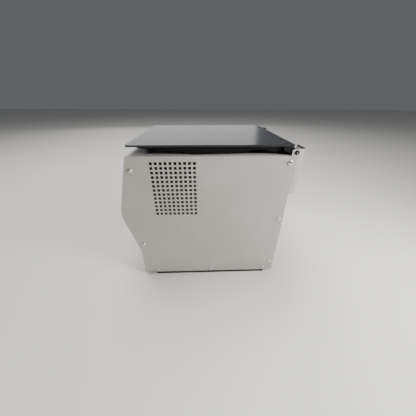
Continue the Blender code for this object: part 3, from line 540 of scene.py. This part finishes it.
def sample_block():
    """A milled block on a thin flange, with 8 rows of 12 round tapered wells, each chamfered at its mouth."""
    low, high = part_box("sample_block")
    middle = (low[1] + high[1]) / 2
    top = high[2]
    body = slab((-0.056, 0.056), (middle - 0.038, middle + 0.038), (low[2], top))
    soften(body, 0.0005, 2)
    flange = slab((low[0], high[0]), (low[1], high[1]), (low[2] + 0.0001, low[2] + 0.0050))
    bm = carve(body, flange, "UNION")
    well = turned([(0, top - 0.0148), (0.0012, top - 0.0146), (0.0027, top - 0.0005), (0.0031, top),
                   (0.0031, top + 0.001), (0, top + 0.001)], steps=18)
    mesh = bpy.data.meshes.new("well")
    well.to_mesh(mesh)
    well.free()
    wells = bmesh.new()
    for column in range(12):
        for row in range(8):
            before = set(wells.verts)
            wells.from_mesh(mesh)
            added = [vert for vert in wells.verts if vert not in before]
            where = ((column - 5.5) * WELL_PITCH, middle + (row - 3.5) * WELL_PITCH, 0)
            bmesh.ops.translate(wells, vec=where, verts=added)
    bpy.data.meshes.remove(mesh)
    bm = carve(bm, wells)
    piece("sample_block_shown", bm, BODY_OF["sample_block"], SLOT_OF["sample_block"],
          replaces=["sample_block"])


def platen_springs():
    """Four coils, shown as their CAD nodes with meshes of their own. The share of each coil that would be left
    as the platen rises into the lid is reckoned, but nothing uses it.
    """
    joints = frame["record"]["behaviour"]["joints"]
    travel = next(joint for joint in joints if joint["name"] == "platen_float")
    for number in range(1, 5):
        node = f"platen_spring_{number}"
        low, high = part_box(node)
        tall = high[2] - low[2]
        coil = softened(node, 0)
        (tall - travel["range_m"][1]) / tall
        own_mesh(coil)


# --- Controls --------------------------------------------------------------------------------------

def symbol(name, key, shapes):
    """Plain marks raised on a key: each shape is a list of corner count, radius, stretch, turn and place."""
    marks = bmesh.new()
    for corners, radius, stretch, turn, (x, v) in shapes:
        mark = bmesh.new()
        bmesh.ops.create_cone(mark, cap_ends=True, segments=corners, radius1=radius, radius2=radius,
                              depth=0.00016)
        step = Matrix.Rotation(turn, 4, "Z") @ Matrix.Diagonal((*stretch, 1, 1))
        spin = Matrix.Rotation(math.pi / corners if corners == 4 else -math.pi / 2, 4, "Z")
        place(mark, Matrix.Translation((x, v, 0.00225)) @ step @ spin)
        mesh = bpy.data.meshes.new("mark")
        mark.to_mesh(mesh)
        mark.free()
        marks.from_mesh(mesh)
        bpy.data.meshes.remove(mesh)
    bmesh.ops.recalc_face_normals(marks, faces=marks.faces)
    place(marks, FACE @ Matrix.Translation((*KEY_PLACES[key], 0)))
    piece(name, marks, BODY_OF[key], SLOT_OF[key], SYMBOL_WHITE)


def key_symbols():
    quarter = math.pi / 2
    for key, turn in (("key_right", 0), ("key_up", quarter), ("key_left", 2 * quarter),
                      ("key_down", 3 * quarter)):
        symbol(f"{key}_arrow", key, [(3, 0.0021, (1, 1), turn, (0, 0))])
    symbol("key_start_mark", "key_start", [(3, 0.0025, (1, 1), 0, (-0.0003, 0))])
    symbol("key_stop_mark", "key_stop", [(4, 0.0024, (1, 1), 0, (0, 0))])
    bars = [(4, 0.0028, (1.0, 0.16), 0, (0, height)) for height in (0.0016, 0, -0.0016)]
    symbol("key_menu_bars", "key_menu", bars)
    bent = [(3, 0.0015, (1, 1), 2 * quarter, (-0.0018, -0.0007)),
            (4, 0.0022, (1, 0.17), 0, (0.0006, -0.0007)),
            (4, 0.0015, (0.25, 1), 0, (0.0020, 0.0004))]
    symbol("key_enter_mark", "key_enter", bent)


def lcd_glass():
    """The lit glass under the tinted window, standing on the display module."""
    glass = slab((-0.0715, 0.0235), (-0.0435, -0.0185), (-0.0040, -0.00375))
    soften(glass, 0.00006, 1)
    piece("lcd_glass", place(glass, FACE), "case", "window", LCD)


def rocker_marks():
    """A bar and a ring, raised on the two halves of the rocker."""
    low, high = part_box("power_rocker")
    x = (low[0] + high[0]) / 2
    matrix = Matrix.Translation((x, 0.1465, 0.047)) @ Matrix.Rotation(math.radians(-8), 4, "X")
    lean = math.atan2(0.0012, 0.0124)
    for name, up in (("on_bar", 1), ("off_ring", -1)):
        if up > 0:
            mark = slab((-0.0004, 0.0004), (-0.0022, 0.0022), (0, 0.00016))
        else:
            mark = bmesh.new()
            bmesh.ops.create_cone(mark, cap_ends=True, segments=24, radius1=0.0024, radius2=0.0024,
                                  depth=0.00016)
            hole = bmesh.new()
            bmesh.ops.create_cone(hole, cap_ends=True, segments=24, radius1=0.0017, radius2=0.0017,
                                  depth=0.001)
            mark = carve(mark, hole)
        tilt = Matrix.Rotation(-math.pi / 2 - up * lean, 4, "X")
        place(mark, matrix @ Matrix.Translation((0, 0.00405, up * 0.0065)) @ tilt)
        piece(f"rocker_{name}", mark, BODY_OF["power_rocker"], SLOT_OF["power_rocker"], SYMBOL_WHITE)


def serial_pins():
    """Nine pins in two rows, standing in a dark insulator at the bottom of the serial port's shell."""
    x, z = -0.070, 0.047
    base = slab((x - 0.0074, x + 0.0074), (REAR_Y, REAR_Y + 0.0010), (z - 0.0031, z + 0.0031))
    soften(base, 0.0002, 2)
    piece("serial_insulator", base, BODY_OF["serial_port"], "moulded_black")
    pins = bmesh.new()
    pin = turned([(0, 0), (0.0005, 0), (0.0005, 0.0035), (0.00025, 0.0039), (0, 0.0040)], steps=10)
    mesh = bpy.data.meshes.new("pin")
    pin.to_mesh(mesh)
    pin.free()
    for count, up in ((5, 0.0014), (4, -0.0014)):
        for number in range(count):
            before = set(pins.verts)
            pins.from_mesh(mesh)
            added = [vert for vert in pins.verts if vert not in before]
            where = Matrix.Translation((x + (number - (count - 1) / 2) * 0.00277, REAR_Y + 0.0011, z + up))
            bmesh.ops.transform(pins, matrix=where @ OUT_OF["+Y"], verts=added)
    bpy.data.meshes.remove(mesh)
    piece("serial_pins", pins, BODY_OF["serial_port"], "bright_steel")


# --- Stage -----------------------------------------------------------------------------------------

def add_stage():
    bm = bmesh.new()
    bmesh.ops.create_grid(bm, x_segments=1, y_segments=1, size=6)
    mesh = bpy.data.meshes.new("floor")
    bm.to_mesh(mesh)
    bm.free()
    mesh.materials.append(floor_material())
    floor = bpy.data.objects.new("floor", mesh)
    bpy.context.scene.collection.objects.link(floor)
    world = bpy.data.worlds.new("soft_room")
    world.use_nodes = True
    world.node_tree.nodes["Background"].inputs["Color"].default_value = (0.86, 0.90, 0.95, 1)
    world.node_tree.nodes["Background"].inputs["Strength"].default_value = 0.14
    bpy.context.scene.world = world
    add_softbox("overhead", (-0.5, -0.35, 1.9), (0, -0.1, 0.1), (1.3, 1.3), 44)
    add_softbox("window_side", (0.42, 0.60, 0.50), (0.12, 0.12, 0.17), (0.35, 0.35), 7.5)
    add_softbox("sheen", (-2.3, -0.33, 0.66), (0, 0, 0.286), (2.24, 0.8), 5.6)


FINE_EDGES = {
    "side_panel_right": 0.00008, "fan_rotor": 0.00015, "serial_port": 0.00012,
}
OWN_PIECES = {"hinge_pin_right", "hinge_pin_left", "sample_block"}
OWN_PIECES |= {f"side_screw_{number}" for number in range(1, 9)}
OWN_PIECES |= {f"platen_spring_{number}" for number in range(1, 5)}

add_camera()
add_stage()
for cad_node in sorted(set(NODES) - OWN_PIECES):
    softened(cad_node, FINE_EDGES.get(cad_node, 0.0003))
case_screws()
small_screws()
hinge_pins()
sample_block()
platen_springs()
key_symbols()
lcd_glass()
rocker_marks()
serial_pins()
